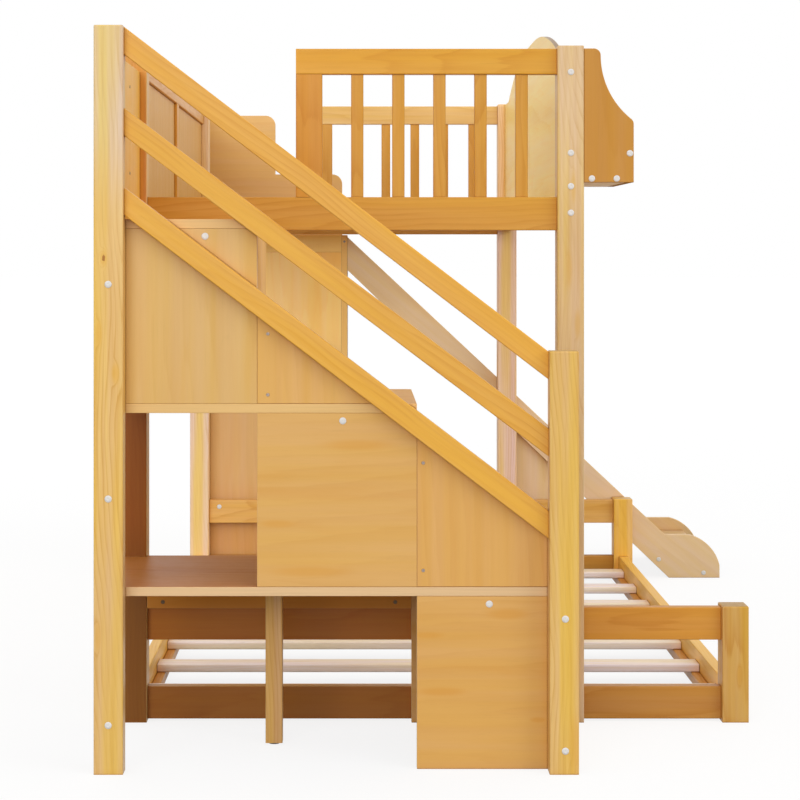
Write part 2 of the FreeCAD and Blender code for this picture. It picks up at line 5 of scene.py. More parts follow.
import bmesh
import bpy
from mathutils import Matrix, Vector


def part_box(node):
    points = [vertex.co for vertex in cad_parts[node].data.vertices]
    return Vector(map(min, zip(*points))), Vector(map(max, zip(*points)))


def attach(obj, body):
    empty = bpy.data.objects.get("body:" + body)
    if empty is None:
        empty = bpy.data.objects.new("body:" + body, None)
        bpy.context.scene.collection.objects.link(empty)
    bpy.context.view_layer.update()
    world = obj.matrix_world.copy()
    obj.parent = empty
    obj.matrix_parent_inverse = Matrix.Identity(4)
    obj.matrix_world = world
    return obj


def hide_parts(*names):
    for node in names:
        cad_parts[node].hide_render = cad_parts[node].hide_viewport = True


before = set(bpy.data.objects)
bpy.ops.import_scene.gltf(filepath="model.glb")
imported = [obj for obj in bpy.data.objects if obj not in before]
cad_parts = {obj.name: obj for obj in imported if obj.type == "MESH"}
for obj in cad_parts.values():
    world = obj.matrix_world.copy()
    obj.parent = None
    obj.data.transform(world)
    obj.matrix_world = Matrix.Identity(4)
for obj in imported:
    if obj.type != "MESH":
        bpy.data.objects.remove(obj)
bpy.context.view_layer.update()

bl_info = {
    "name": "Bunk bed dressing",
    "version": (1, 0, 0),
    "blender": (4, 5, 0),
    "location": "3D View > Sidebar > Bunk bed",
    "description": "Timber finishes, slats, fasteners and studio for a bunk bed with storage stairs",
    "category": "Object",
}

BODY = "root"


# ------------ shader maths
class Varying:
    """A number in a node tree that varies over a surface or a shape; arithmetic on it adds Math nodes."""

    def __init__(self, nodes, socket):
        self.nodes = nodes
        self.socket = socket

    def _math(self, operation, *values):
        return self.nodes.value("ShaderNodeMath", dict(enumerate(values)), operation=operation)

    def __add__(self, other):
        return self._math("ADD", self, other)

    __radd__ = __add__

    def __sub__(self, other):
        return self._math("SUBTRACT", self, other)

    def __rsub__(self, other):
        return self._math("SUBTRACT", other, self)

    def __mul__(self, other):
        return self._math("MULTIPLY", self, other)

    __rmul__ = __mul__

    def __truediv__(self, other):
        return self._math("DIVIDE", self, other)

    def __pow__(self, other):
        return self._math("POWER", self, other)

    def __abs__(self):
        return self._math("ABSOLUTE", self)

    def fraction(self):
        return self._math("FRACT", self)

    def clipped(self):
        return self._math("MAXIMUM", self._math("MINIMUM", self, 1.0), 0.0)

    def step(self, start, end):
        """Rises smoothly from 0 to 1 while this number goes from start to end."""
        values = {0: self, 1: start, 2: end, 3: 0.0, 4: 1.0}
        return self.nodes.value("ShaderNodeMapRange", values, interpolation_type="SMOOTHSTEP", clamp=True)


# A noise: its changes per metre along each axis, its detail, its roughness and its distortion.
Pattern = namedtuple("Pattern", "pace detail roughness distortion", defaults=(0.0,))


class Nodes:
    """A node tree, built by a single method that adds any node."""

    def __init__(self, tree):
        self.tree = tree
        self.tree.nodes.clear()

    def node(self, kind, values=None, **settings):
        """Adds a node and gives each of its sockets a link or a fixed value."""
        made = self.tree.nodes.new(kind)
        for key, setting in settings.items():
            setattr(made, key, setting)
        for key, value in (values or {}).items():
            entry = made.inputs[key]
            source = value.socket if isinstance(value, Varying) else value
            if isinstance(source, bpy.types.NodeSocket):
                self.tree.links.new(source, entry)
            elif entry.type == "RGBA" and len(source) == 3:
                entry.default_value = (*source, 1.0)
            else:
                entry.default_value = source
        return made

    def first(self, kind, values=None, **settings):
        """The first output of a new node, such as its colour, shader, vector or shape."""
        return self.node(kind, values, **settings).outputs[0]

    def value(self, kind, values=None, output=0, **settings):
        return Varying(self, self.node(kind, values, **settings).outputs[output])

    def vector(self, operation, *values):
        """Vector maths on places and directions."""
        return self.first("ShaderNodeVectorMath", dict(enumerate(values)), operation=operation)

    def measure(self, operation, *values):
        """Vector maths that ends in a number, such as a length."""
        return self.value("ShaderNodeVectorMath", dict(enumerate(values)), "Value", operation=operation)

    def part(self, vector, axis):
        return self.value("ShaderNodeSeparateXYZ", {0: vector}, axis)

    def place(self):
        return self.node("ShaderNodeTexCoord").outputs["Object"]

    def face(self):
        return self.node("ShaderNodeNewGeometry").outputs["True Normal"]

    def mix(self, share, first, second, mode="MIX"):
        """Blend of two colours by a varying share."""
        # This node's sockets for colours are 6 and 7 on the way in and 2 on the way out.
        values = {0: share, 6: first, 7: second}
        made = self.node("ShaderNodeMix", values, data_type="RGBA", blend_type=mode, clamp_factor=True)
        return made.outputs[2]

    def noise(self, place, pattern, output=0):
        """A pattern's number at a place, or three unlike numbers with the output Color."""
        values = {
            "Vector": self.vector("MULTIPLY", place, pattern.pace),
            "Scale": 1.0,
            "Detail": pattern.detail,
            "Roughness": pattern.roughness,
            "Distortion": pattern.distortion,
        }
        return self.value("ShaderNodeTexNoise", values, output)

    def openness(self, reach):
        """How open a point is within a reach: 1 in the open, about a half in an inner corner."""
        return self.value("ShaderNodeAmbientOcclusion", {"Distance": reach}, "AO", samples=6)

    def relief(self, strength, depth, height):
        """A normal that a height bumps."""
        values = {"Strength": strength, "Distance": depth, "Height": height}
        return self.first("ShaderNodeBump", values)


class Finish(Nodes):
    """The node tree of one material."""

    def __init__(self, name):
        self.material = bpy.data.materials.new(name)
        self.material.use_nodes = True
        super().__init__(self.material.node_tree)

    def principled(self, colour, roughness, normal, **fixed):
        values = {"Base Color": colour, "Roughness": roughness, "Normal": normal}
        values.update({name.replace("_", " "): number for name, number in fixed.items()})
        shader = self.first("ShaderNodeBsdfPrincipled", values)
        self.node("ShaderNodeOutputMaterial", {"Surface": shader})
        return self.material


def even(number):
    """The same number in all three parts, as in a grey."""
    return (number, number, number)


def shared(tone, share):
    """A tone times its share, part by part, kept within what a surface can throw back."""
    return tuple(min(1.0, part * portion) for part, portion in zip(tone, share))


def facing(finish, direction):
    """How squarely a face looks along a direction, either way: 1 along it, 0 across it."""
    return abs(finish.measure("DOT_PRODUCT", finish.face(), tuple(direction)))


# ------------ timber
# Ring width and taper, sharpness and contrast of the rings, hue drift, depth of colour, clouds, roughness
# and shine.
Wood = namedtuple("Wood", "ring taper sharp figure drift depth cloud roughness shine")
PINE = Wood(0.0080, 0.036, 4.5, 1.00, 0.80, 0.70, 0.0, 0.38, 0.22)
GOLDEN = Wood(0.0105, 0.030, 3.0, 0.75, 0.35, 0.55, 0.0, 0.36, 0.22)
SHADY = Wood(0.0100, 0.030, 3.0, 0.75, 0.35, 0.58, 0.0, 0.40, 0.22)
VENEER = Wood(0.0260, 0.070, 1.6, 0.26, 0.20, 0.45, 0.60, 0.42, 0.22)
MATT = VENEER._replace(roughness=0.55, shine=0.0)
SAWN = Wood(0.0080, 0.030, 3.0, 0.60, 0.30, 0.45, 0.0, 0.55, 0.15)

# Patterns of the timber, with the grain along the third axis.
BEND = Pattern((4.0, 4.0, 1.3), 2.0, 0.50)
RIPPLE = Pattern((48.0, 48.0, 2.4), 3.0, 0.55)
FADING = Pattern((11.0, 11.0, 1.4), 2.0, 0.50)
STREAKS = Pattern((110.0, 110.0, 3.0), 4.0, 0.62)
BROAD = Pattern((18.0, 18.0, 1.2), 2.0, 0.50)
FIBRES = Pattern((900.0, 900.0, 16.0), 2.0, 0.60)
HUES = Pattern((31.0, 27.0, 1.1), 2.0, 0.45)
CLOUDS = Pattern((9.0, 9.0, 1.6), 3.0, 0.55, 0.9)
SPOTS = Pattern((60.0, 60.0, 14.0), 3.0, 0.70, 0.6)
BAND_LINES = Pattern((320.0, 320.0, 5.0), 2.0, 0.50)
SAW_MARKS = Pattern(even(420.0), 2.0, 0.60)
SPECKS = Pattern(even(260.0), 2.0, 0.60)
PATCHES = Pattern(even(38.0), 3.0, 0.65)

# Shares of a timber's tone.
EARLY_WOOD = (1.05, 1.06, 1.12)
ORANGE = (0.98, 0.84, 0.52)
BROWN = (0.50, 0.30, 0.18)
DEEP = even(0.66)
SOFT = even(0.84)
RUBBED = (1.1, 1.2, 1.5)
# Painted shade in inner corners, and the joint line that is partly painted shadow.
CORNER_SHADE = (0.90, 0.68, 0.42)
JOINT_AND_SHADOW = (0.52, 0.34, 0.20)

# What a painted shade's limit reads.
PLACE, FACE = "place", "face"

# Sizes in metres.
RING_WANDER = 0.10
FLAME_PUSH = 0.010
KNOT_PUSH = 0.014
WORN_EDGE = 0.0035
# Reach of the painted shade in corners, and of the joint line with its painted shadow.
CORNER_SHADE_REACH = 0.016
JOINT_AND_SHADOW_REACH = 0.004
GRAIN_DEPTH = 0.0008


def grain_place(finish, centre, grain, per_piece):
    """Object coordinates from the timber's pith, turned so that Z runs along the grain."""
    moved = finish.vector("ADD", finish.place(), tuple(-number for number in centre))
    if per_piece:
        own = finish.node("ShaderNodeAttribute", attribute_name="own_place").outputs["Vector"]
        moved = finish.vector("ADD", moved, own)
    turn = Vector(grain).rotation_difference(Vector((0.0, 0.0, 1.0))).to_euler()
    values = {0: moved, "Rotation": tuple(turn)}
    return finish.first("ShaderNodeVectorRotate", values, rotation_type="EULER_XYZ")


def oval(finish, centre, spans):
    """1 in the middle of an oval around a point of the object, falling smoothly to 0 at its rim."""
    away = finish.vector("SUBTRACT", finish.place(), tuple(centre))
    scaled = finish.vector("MULTIPLY", away, tuple(1.0 / span for span in spans))
    return 1.0 - finish.measure("LENGTH", scaled).step(0.0, 1.0)


def growth_rings(finish, place, wood, pith, ovals):
    """Share of late wood: the dark side of each ring round the pith, pushed out by knots and flames."""
    wander = finish.noise(place, BEND, "Color")
    bent = finish.vector("MULTIPLY_ADD", wander, (RING_WANDER, RING_WANDER, 0.0), place)
    # The noise averages a half, so half of the wander comes off again.
    bent = finish.vector("ADD", bent, (-RING_WANDER / 2 - pith[0], -RING_WANDER / 2 - pith[1], 0.0))
    across = finish.vector("MULTIPLY", bent, (1.0, 1.0, 0.0))
    radius = finish.measure("LENGTH", across) - finish.part(place, 2) * wood.taper
    for around, core in ovals:
        radius = radius + around * (FLAME_PUSH + KNOT_PUSH * core)
    rings = (radius / wood.ring + finish.noise(place, RIPPLE) * 1.1).fraction()
    shown = finish.noise(place, FADING).step(0.36, 0.62)
    return (rings ** wood.sharp) * (1.0 - rings.step(0.90, 1.0)) * (shown * 0.75 + 0.25)


def planed(finish, place, tone, wood, late_wood, streak, fibre):
    """Colour of planed wood: early and late wood over a drifting hue, with streaks and fibres."""
    late = (1.0 - 0.20 * wood.depth, 1.0 - 0.42 * wood.depth, 1.0 - 0.72 * wood.depth)
    rosy = shared(tone, (1.0, 1.0 + 0.05 * wood.drift, 1.0 + 0.80 * wood.drift))
    honey = shared(tone, (1.0, 1.0 - 0.02 * wood.drift, 1.0 - 0.50 * wood.drift))
    base = finish.mix(finish.noise(place, HUES).step(0.30, 0.70), honey, rosy)
    share = late_wood * wood.figure + (streak - 0.5) * 1.5 * wood.figure + 0.22
    share = (share + (finish.noise(place, BROAD) - 0.5) * 0.8).clipped()
    colour = finish.mix(1.0, base, finish.mix(share, EARLY_WOOD, late), "MULTIPLY")
    return finish.mix(fibre.step(0.56, 0.74) * (0.26 * wood.depth + 0.04), colour, shared(tone, DEEP))


def clouded(finish, place, colour, tone, amount):
    """Soft orange clouds and small spots, as on veneer."""
    clouds = finish.noise(place, CLOUDS).step(0.50, 0.74)
    colour = finish.mix(clouds * amount * 0.60, colour, shared(tone, ORANGE))
    spots = finish.noise(place, SPOTS).step(0.60, 0.78)
    return finish.mix(spots * amount * 0.30, colour, shared(tone, SOFT))


def knotted(finish, place, colour, tone, ovals):
    """Orange flames, and brown cores where they are knots."""
    for around, core in ovals:
        colour = finish.mix(around.step(0.05, 0.90) * 0.62, colour, shared(tone, ORANGE))
        if core > 0.0:
            speck = finish.noise(place, SPECKS) * 0.30
            dark = (around + speck).step(0.95, 1.08) * core
            colour = finish.mix(dark, colour, shared(tone, BROWN))
    return colour


def banded(finish, place, colour, band, flat):
    """Pale banding on the edges, which are the faces that don't look the flat way."""
    edge = 1.0 - facing(finish, flat).step(0.55, 0.85)
    lines = finish.noise(place, BAND_LINES).step(0.42, 0.66)
    strip = finish.mix(lines * 0.35, tuple(band), shared(band, SOFT))
    return finish.mix(edge * 0.85, colour, strip)


def sawn_ends(finish, place, colour, tone, grain):
    """Darker, rougher colour on the ends of the grain."""
    ends = facing(finish, grain).step(0.80, 0.97)
    return finish.mix(ends * (0.45 + finish.noise(place, SAW_MARKS) * 0.4), colour, shared(tone, DEEP))


def apply_painted_shades(finish, colour, painted_shades):
    """Painted light and shade: each one's share of the colour, within its limits of place or face."""
    for limits, share in painted_shades:
        within = 1.0
        for source, axis, start, end in limits:
            whole = finish.place() if source == PLACE else finish.face()
            within = finish.part(whole, axis).step(start, end) * within
        colour = finish.mix(1.0, colour, finish.mix(within, even(1.0), share), "MULTIPLY")
    return colour


def worn_edges(finish, patchy):
    """Share of wear: patches along the sharp edges, where a bevelled normal leaves the face's own."""
    bevel = finish.first("ShaderNodeBevel", {"Radius": WORN_EDGE}, samples=4)
    sharp = finish.measure("DOT_PRODUCT", bevel, finish.face())
    return (1.0 - sharp).step(0.02, 0.16) * patchy.step(0.32, 0.60)


def painted_shade_and_joints(finish, colour, tone):
    """Painted shade in inner corners, and a thin dark line where boards meet, part joint, part painted
    shadow.
    """
    corner_shade = finish.mix(finish.openness(CORNER_SHADE_REACH), CORNER_SHADE, even(1.0))
    colour = finish.mix(0.45, colour, corner_shade, "MULTIPLY")
    joint_and_shadow = 1.0 - finish.openness(JOINT_AND_SHADOW_REACH)
    return finish.mix(joint_and_shadow.step(0.10, 0.42) * 0.75, colour, shared(tone, JOINT_AND_SHADOW))


def timber(
    name, tone, grain, centre, wood, pith, marks=(), band=None, flat=None, painted_shades=(), per_piece=False
):
    """Lacquered timber: growth rings round a pith, drifting hue, fine fibres, worn edges, painted corner
    shade.

    Each mark is a knot or a flame: its centre, its half spans, and how dark its core is.
    Each painted shade is painted light and shade: the limits of place or face where it holds, and its share
    of the colour.
    """
    finish = Finish(name)
    place = grain_place(finish, centre, grain, per_piece)
    ovals = [(oval(finish, at, spans), core) for at, spans, core in marks]
    late_wood = growth_rings(finish, place, wood, pith, ovals)
    streak = finish.noise(place, STREAKS)
    fibre = finish.noise(place, FIBRES)
    patchy = finish.noise(place, PATCHES)

    colour = planed(finish, place, tone, wood, late_wood, streak, fibre)
    if wood.cloud > 0.0:
        colour = clouded(finish, place, colour, tone, wood.cloud)
    colour = knotted(finish, place, colour, tone, ovals)
    if band is not None:
        colour = banded(finish, place, colour, band, flat)
    else:
        colour = sawn_ends(finish, place, colour, tone, grain)
    # Painted light and shade on parts of the board.
    colour = apply_painted_shades(finish, colour, painted_shades)
    rubbed = worn_edges(finish, patchy)
    colour = finish.mix(rubbed * 0.26, colour, shared(tone, RUBBED))
    # Painted shade in inner corners and along the joints.
    colour = painted_shade_and_joints(finish, colour, tone)

    rough = wood.roughness + (streak - 0.5) * 0.16 + late_wood * 0.06 + rubbed * 0.12 + (patchy - 0.5) * 0.10
    height = fibre * 0.55 + streak * 0.7 + (1.0 - late_wood) * 0.30
    normal = finish.relief(0.16, GRAIN_DEPTH, height)
    return finish.principled(colour, rough, normal, Specular_IOR_Level=wood.shine)


# ------------ plastic and steel
PLASTIC_GRAIN = Pattern(even(900.0), 2.0, 0.60)
PLASTIC_PATCHES = Pattern(even(70.0), 2.0, 0.50)
STEEL_STAINS = Pattern(even(260.0), 3.0, 0.60)
STEEL_SCRATCHES = Pattern((1500.0, 1500.0, 260.0), 2.0, 0.50)
PLASTIC_DEPTH = 0.0002
STEEL_DEPTH = 0.0001


def moulded(name, tone, roughness):
    """Moulded plastic: even colour with fine specks, a soft grain and dulled patches."""
    finish = Finish(name)
    place = finish.place()
    fine = finish.noise(place, PLASTIC_GRAIN)
    wide = finish.noise(place, PLASTIC_PATCHES)
    specks = (fine.step(0.45, 0.7) * 0.5 + wide * 0.4).clipped()
    colour = finish.mix(specks, tuple(tone), shared(tone, even(0.89)))
    normal = finish.relief(0.12, PLASTIC_DEPTH, fine)
    return finish.principled(colour, roughness + (wide - 0.5) * 0.18, normal)


def metal(name, tone, roughness):
    """Dull plated steel: turned lines, faint stains and small scratches."""
    finish = Finish(name)
    place = finish.place()
    stain = finish.noise(place, STEEL_STAINS)
    scratch = finish.noise(place, STEEL_SCRATCHES)
    colour = finish.mix(stain.step(0.40, 0.70) * 0.6, tuple(tone), shared(tone, even(0.62)))
    normal = finish.relief(0.18, STEEL_DEPTH, scratch)
    return finish.principled(colour, roughness + (stain - 0.5) * 0.25, normal, Metallic=0.9)


# ------------ mesh helpers
def islands(node):
    """Lowest and highest corner of each separate solid in a CAD node."""
    form = bmesh.new()
    form.from_mesh(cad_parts[node].data)
    bmesh.ops.remove_doubles(form, verts=form.verts, dist=1e-6)
    seen = set()
    boxes = []
    for start in form.verts:
        if start in seen:
            continue
        seen.add(start)
        queue = [start]
        members = []
        while queue:
            vertex = queue.pop()
            members.append(vertex.co.copy())
            for edge in vertex.link_edges:
                other = edge.other_vert(vertex)
                if other not in seen:
                    seen.add(other)
                    queue.append(other)
        low = Vector([min(place[axis] for place in members) for axis in range(3)])
        high = Vector([max(place[axis] for place in members) for axis in range(3)])
        boxes.append((low, high))
    form.free()
    return sorted(boxes, key=lambda pair: tuple(round(number, 4) for number in pair[0]))


def own_offset(index):
    """Fixed shift of the grain for the piece with this number in its row."""
    return Vector((0.37 * math.sin(2.4 * index + 1.0), 0.31 * math.cos(1.7 * index), 1.73 * index))


def placed(name, data):
    """A new object of the scene for a mesh, a lamp or a camera."""
    made = bpy.data.objects.new(name, data)
    bpy.context.scene.collection.objects.link(made)
    return made


def seats(name, places, outs):
    """Points for a row of like pieces, each with its outward direction and its own grain shift."""
    mesh = bpy.data.meshes.new(name)
    mesh.from_pydata([tuple(place) for place in places], [], [])
    out = mesh.attributes.new("out", "FLOAT_VECTOR", "POINT")
    own = mesh.attributes.new("own_place", "FLOAT_VECTOR", "POINT")
    for index, direction in enumerate(outs):
        out.data[index].vector = tuple(direction)
        own.data[index].vector = tuple(own_offset(index))
    return placed(name, mesh)


class Tree(Nodes):
    """A Geometry Nodes tree with named inputs for its sizes and its material."""

    def __init__(self, name, sizes):
        super().__init__(bpy.data.node_groups.new(name, "GeometryNodeTree"))
        sides = self.tree.interface
        sides.new_socket("Geometry", in_out="INPUT", socket_type="NodeSocketGeometry")
        self.sockets = {}
        for label, kind, default in (*sizes, ("Material", "NodeSocketMaterial", None)):
            entry = sides.new_socket(label, in_out="INPUT", socket_type=kind)
            if default is not None:
                entry.default_value = default
            self.sockets[label] = entry.identifier
        sides.new_socket("Geometry", in_out="OUTPUT", socket_type="NodeSocketGeometry")
        self.entry = self.node("NodeGroupInput")
        self.exit = self.node("NodeGroupOutput")

    def given(self, label):
        return self.entry.outputs[label]

    def size(self, label):
        return Varying(self, self.given(label))

    def point(self, **parts):
        """A place or a span from its parts."""
        return self.first("ShaderNodeCombineXYZ", parts)

    def finish(self, geometry):
        """Ends the tree: instances become real and take the material that was handed in."""
        real = self.first("GeometryNodeRealizeInstances", {0: geometry})
        values = {"Geometry": real, "Material": self.given("Material")}
        painted = self.first("GeometryNodeSetMaterial", values)
        self.tree.links.new(painted, self.exit.inputs[0])
        return self


def on_points(tree, instance, turned):
    """Places the instance on the incoming points, turned outwards where that is asked for."""
    values = {"Points": tree.given("Geometry"), "Instance": instance}
    if turned:
        out = tree.first("GeometryNodeInputNamedAttribute", {"Name": "out"}, data_type="FLOAT_VECTOR")
        values["Rotation"] = tree.first("FunctionNodeAlignRotationToVector", {"Vector": out}, axis="Z")
    return tree.first("GeometryNodeInstanceOnPoints", values)


def bar_tree():
    """Straight bars with rounded long edges, one on each point."""
    sizes = (
        ("Length", "NodeSocketFloat", 1.0),
        ("Width", "NodeSocketFloat", 0.07),
        ("Thickness", "NodeSocketFloat", 0.02),
        ("Edge radius", "NodeSocketFloat", 0.003),
        ("Turn", "NodeSocketVector", None),
    )
    tree = Tree("Rounded bars on points", sizes)
    half = tree.size("Length") * 0.5
    values = {"Start": tree.point(Z=half * -1.0), "End": tree.point(Z=half)}
    line = tree.first("GeometryNodeCurvePrimitiveLine", values)
    values = {"Width": tree.size("Width"), "Height": tree.size("Thickness")}
    section = tree.first("GeometryNodeCurvePrimitiveQuadrilateral", values)
    values = {"Curve": section, "Radius": tree.size("Edge radius"), "Count": 4, "Limit Radius": True}
    section = tree.first("GeometryNodeFilletCurve", values, mode="POLY")
    values = {"Curve": line, "Profile Curve": section, "Fill Caps": True}
    bar = tree.first("GeometryNodeCurveToMesh", values)
    bar = tree.first("GeometryNodeTransform", {"Geometry": bar, "Rotation": tree.given("Turn")})
    return tree.finish(on_points(tree, bar, False))


def disc(tree, corners, rings):
    """A flat round head of the tree's own radius and height."""
    values = {
        "Vertices": corners, "Fill Segments": rings,
        "Radius": tree.size("Radius"), "Depth": tree.size("Height"),
    }
    return tree.first("GeometryNodeMeshCylinder", values, fill_type="TRIANGLE_FAN")


def cover_tree():
    """Domed round covers with a rim, one on each point, looking outwards."""
    sizes = (
        ("Radius", "NodeSocketFloat", 0.0075),
        ("Height", "NodeSocketFloat", 0.002),
        ("Dimple", "NodeSocketFloat", 0.3),
    )
    tree = Tree("Domed covers on points", sizes)
    place = tree.first("GeometryNodeInputPosition")
    share = tree.measure("LENGTH", tree.vector("MULTIPLY", place, (1.0, 1.0, 0.0))) / tree.size("Radius")
    # The dome falls away towards its rim, and a dimple takes up the middle third.
    fall = share ** 4.0 * 0.72
    inner = (1.0 - share * 2.6).clipped()
    drop = (fall + inner * tree.size("Dimple")) * tree.size("Height")
    upper = tree.first("FunctionNodeCompare", {0: tree.part(place, 2), 1: 0.0}, operation="GREATER_THAN")
    values = {"Geometry": disc(tree, 28, 6), "Selection": upper, "Offset": tree.point(Z=drop * -1.0)}
    return tree.finish(on_points(tree, tree.first("GeometryNodeSetPosition", values), True))


def screw_tree():
    """Pan heads with a cross cut, one on each point, looking outwards."""
    sizes = (
        ("Radius", "NodeSocketFloat", 0.0035),
        ("Height", "NodeSocketFloat", 0.001),
        ("Cross width", "NodeSocketFloat", 0.0009),
    )
    tree = Tree("Cross head screws on points", sizes)
    head = disc(tree, 24, 4)
    # The cross stops short of the rim, at five eighths of the radius to each side.
    reach = tree.size("Radius") * 1.25
    lift = tree.point(Z=tree.size("Height") * 0.5)
    for along, across in (("X", "Y"), ("Y", "X")):
        spans = {along: reach, across: tree.size("Cross width"), "Z": tree.size("Height")}
        arm = tree.first("GeometryNodeMeshCube", {"Size": tree.point(**spans)})
        arm = tree.first("GeometryNodeTransform", {"Geometry": arm, "Translation": lift})
        values = {"Mesh 1": head, "Mesh 2": arm}
        head = tree.first("GeometryNodeMeshBoolean", values, operation="DIFFERENCE")
    return tree.finish(on_points(tree, head, True))


def grown(name, points, tree, sizes):
    """Runs the tree on the points and returns its result as a plain mesh object."""
    modifier = points.modifiers.new("Grow", "NODES")
    modifier.node_group = tree.tree
    for label, size in sizes.items():
        modifier[tree.sockets[label]] = size
    bpy.context.view_layer.update()
    ready = points.evaluated_get(bpy.context.evaluated_depsgraph_get())
    mesh = bpy.data.meshes.new_from_object(ready)
    points.modifiers.remove(modifier)
    bpy.data.objects.remove(points)
    mesh.name = name
    return placed(name, mesh)


def settle(piece, node):
    """Lets a finished piece stand for its CAD node."""
    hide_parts(node)
    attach(piece, BODY)


def paint(node, material):
    """Gives a CAD node its finish."""
    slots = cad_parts[node].material_slots
    if not slots:
        raise RuntimeError("no material slot on " + node)
    for slot in slots:
        slot.material = material


def middle(node):
    low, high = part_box(node)
    return (low + high) / 2


X_AXIS = (1.0, 0.0, 0.0)
Y_AXIS = (0.0, 1.0, 0.0)
Z_AXIS = (0.0, 0.0, 1.0)
NEAR_WAY = (0.0, -1.0, 0.0)

# Share of a sloped rail's box height by which the rail falls; the rest is its own height.
RAIL_FALL = 0.92

# The camera's sensor in millimetres; how far it sees and how far the floor reaches, in metres.
SENSOR_WIDTH = 36.0
SIGHT = 200.0
FLOOR_REACH = 60.0
FLOOR_CLOUDS = Pattern(even(1.4), 2.0, 0.50)


# ------------ settings
def colour_setting(label, words, value):
    return bpy.props.FloatVectorProperty(
        name=label, description=words, default=value, size=3, subtype="COLOR", min=0.0, max=1.0
    )


def length_setting(label, words, value):
    return bpy.props.FloatProperty(
        name=label, description=words, default=value, min=0.0, subtype="DISTANCE", unit="LENGTH"
    )


def share_setting(label, words, value, most=1.0):
    return bpy.props.FloatProperty(
        name=label, description=words, default=value, min=0.0, max=most, subtype="FACTOR"
    )


def strength_setting(label, words, value):
    return bpy.props.FloatProperty(name=label, description=words, default=value, min=0.0)


def way_setting(label, words, value):
    return bpy.props.FloatVectorProperty(name=label, description=words, default=value, size=3)


class TimberSettings(bpy.types.PropertyGroup):
    """Colours of the lacquered timber and boards."""

    post: colour_setting("Posts", "Honey pine of the posts", (0.75, 0.475, 0.155))
    stair_rail: colour_setting("Stair rails", "Golden pine of the sloped rails", (0.745, 0.387, 0.067))
    step: colour_setting("Steps", "Boards of the steps", (0.70, 0.42, 0.16))
    panel: colour_setting("Panels", "Outer panels of the stairs", (0.677, 0.403, 0.136))
    inner_panel: colour_setting("Inner panels", "Risers and panels on the bed side", (0.62, 0.34, 0.12))
    beam: colour_setting("Beams", "Beams and rails of the bed", (0.66, 0.313, 0.056))
    guard: colour_setting("Guards", "Rails, stiles and slats of the guards", (0.70, 0.345, 0.048))
    # The arched board's pale colour is partly painted light, drawn as bright as its lit inner face.
    arch: colour_setting("Arched guard", "Front guard board", (0.92, 0.66, 0.25))
    book_shelf: colour_setting("Book shelf", "Boards of the hanging book shelf", (0.68, 0.372, 0.145))
    platform: colour_setting("Platform", "Boards of the platform", (0.72, 0.44, 0.17))
    slide: colour_setting("Slide", "Boards of the slide", (0.76, 0.55, 0.30))
    slat: colour_setting("Slats", "Bare wood of the slats", (0.96, 0.83, 0.67))
    edge: colour_setting("Board edges", "Pale banding on the edges of boards", (0.78, 0.55, 0.28))


class FastenerSettings(bpy.types.PropertyGroup):
    """Colours and sizes of the bolt covers, screws and bolts."""

    cover: colour_setting("Covers", "Off-white plastic over the bolts", (0.70, 0.68, 0.65))
    screw: colour_setting("Screws", "Dull plated screw heads", (0.30, 0.25, 0.21))
    bolt: colour_setting("Bolts", "Blackened bolt heads", (0.10, 0.065, 0.035))
    glide: colour_setting("Glide", "Dark glide under the shelf leg", (0.05, 0.045, 0.04))
    cross: length_setting("Cross width", "Width of the cross cut in a screw", 0.0009)
    dimple: share_setting("Dimple", "Depth of a cover's middle against its height", 0.25, 0.6)


class StudioSettings(bpy.types.PropertyGroup):
    """Light, floor and camera."""

    floor: colour_setting("Floor", "Floor as the light meets it", (0.20, 0.20, 0.20))
    shadow: share_setting("Floor shadow", "Share of the floor's look that falls away in shadow", 0.16)
    floor_glow: share_setting("Floor glow", "Share of the pale floor's look that stays in shadow", 0.84)
    sky: strength_setting("Sky light", "Strength of the even light", 0.86)
    key: strength_setting("Key light", "Strength of the soft main light", 1.35)
    key_way: way_setting("Key direction", "Way the main light travels", (0.30, 1.00, -0.24))
    fill: strength_setting("Fill light", "Strength of the side light", 0.9)
    fill_way: way_setting("Fill direction", "Way the side light travels", (-0.80, 0.55, -0.25))
    spread: bpy.props.FloatProperty(
        name="Spread", description="Angle over which each light is spread", default=math.radians(40.0),
        min=0.0, subtype="ANGLE",
    )
    lens: bpy.props.FloatProperty(
        name="Focal length", description="Focal length of the camera on its sensor",
        default=89.64, min=10.0, subtype="DISTANCE_CAMERA",
    )
    eye: bpy.props.FloatVectorProperty(
        name="Eye point", description="Place of the camera", default=(-0.3325, -5.652, 1.118),
        size=3, subtype="TRANSLATION", unit="LENGTH",
    )
    shift: bpy.props.FloatVectorProperty(
        name="Shift", description="Shift of the picture as a share of its width",
        default=(0.055, -0.195), size=2,
    )
